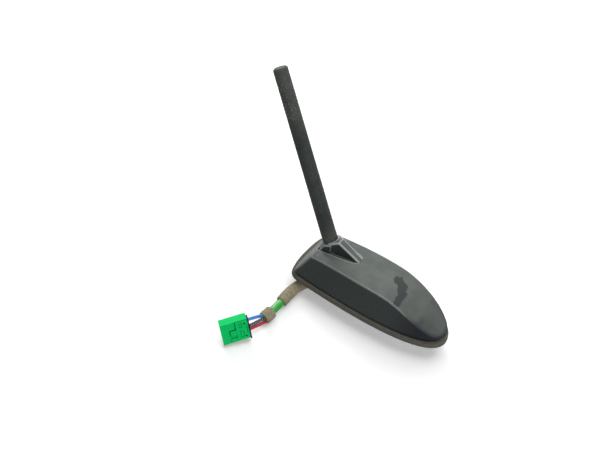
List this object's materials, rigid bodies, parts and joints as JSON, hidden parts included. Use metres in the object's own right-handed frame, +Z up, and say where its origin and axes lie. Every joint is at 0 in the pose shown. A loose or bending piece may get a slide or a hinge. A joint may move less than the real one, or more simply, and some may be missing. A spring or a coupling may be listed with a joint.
{
  "type": "car roof antenna",
  "caption": "Car roof antenna: low streamlined housing with a raked rod mast on a boss, rubber gasket, bolt spigot and a short harness with a flat plug.",
  "frame": {"origin": "on the axis of the roof bolt's bore, in the plane of the roof skin that the gasket lies on", "axes": "+X towards the pointed nose, +Z up out of the roof, mast raked towards -X"},
  "size_m": [0.1719, 0.1288, 0.1687],
  "materials": {
    "housing": "grained moulding, dull black",
    "perimeter_gasket": "dusty, satin",
    "base_plate": "die-cast, dull",
    "clamp_spigot": "die-cast, dull",
    "spigot_seal": "foam",
    "base_screws": "zinc plated",
    "circuit_board": "solder mask",
    "board_screws": "zinc plated",
    "shield_can": "tinned",
    "patch_antenna": "fired, plain",
    "board_chips": "moulded",
    "mast_sheath": "dull, dusty at the foot",
    "mast_ferrule": "turned",
    "mast_core": "glass fibre",
    "mast_winding": "enamelled wire",
    "mast_bush": "turned",
    "contact_spring": "rolled",
    "green_lead": "shiny jacket",
    "foam_sleeve": "felted foam",
    "tape_ring": "felted tape",
    "cable_grommet": "satin",
    "inner_leads": "satin",
    "blue_lead": "satin",
    "black_lead": "satin with a pale stripe",
    "red_lead": "satin",
    "connector_retainer": "satin",
    "connector_housing": "satin moulding",
    "connector_terminals": "tinned"
  },
  "bodies": {
    "root": {"housing": "housing", "perimeter_gasket": "perimeter_gasket", "base_plate": "base_plate", "clamp_spigot": "clamp_spigot", "spigot_seal": "spigot_seal", "base_screws": "base_screws", "circuit_board": "circuit_board", "board_screws": "board_screws", "shield_can": "shield_can", "patch_antenna": "patch_antenna", "board_chips": "board_chips", "mast_sheath": "mast_sheath", "mast_ferrule": "mast_ferrule", "mast_core": "mast_core", "mast_winding": "mast_winding", "mast_bush": "mast_bush", "contact_spring": "contact_spring", "green_lead": "green_lead", "foam_sleeve": "foam_sleeve", "tape_ring": "tape_ring", "cable_grommet": "cable_grommet", "inner_leads": "inner_leads", "blue_lead": "blue_lead", "black_lead": "black_lead", "red_lead": "red_lead", "connector_retainer": "connector_retainer", "connector_housing": "connector_housing", "connector_terminals": "connector_terminals"}
  },
  "joints": []
}
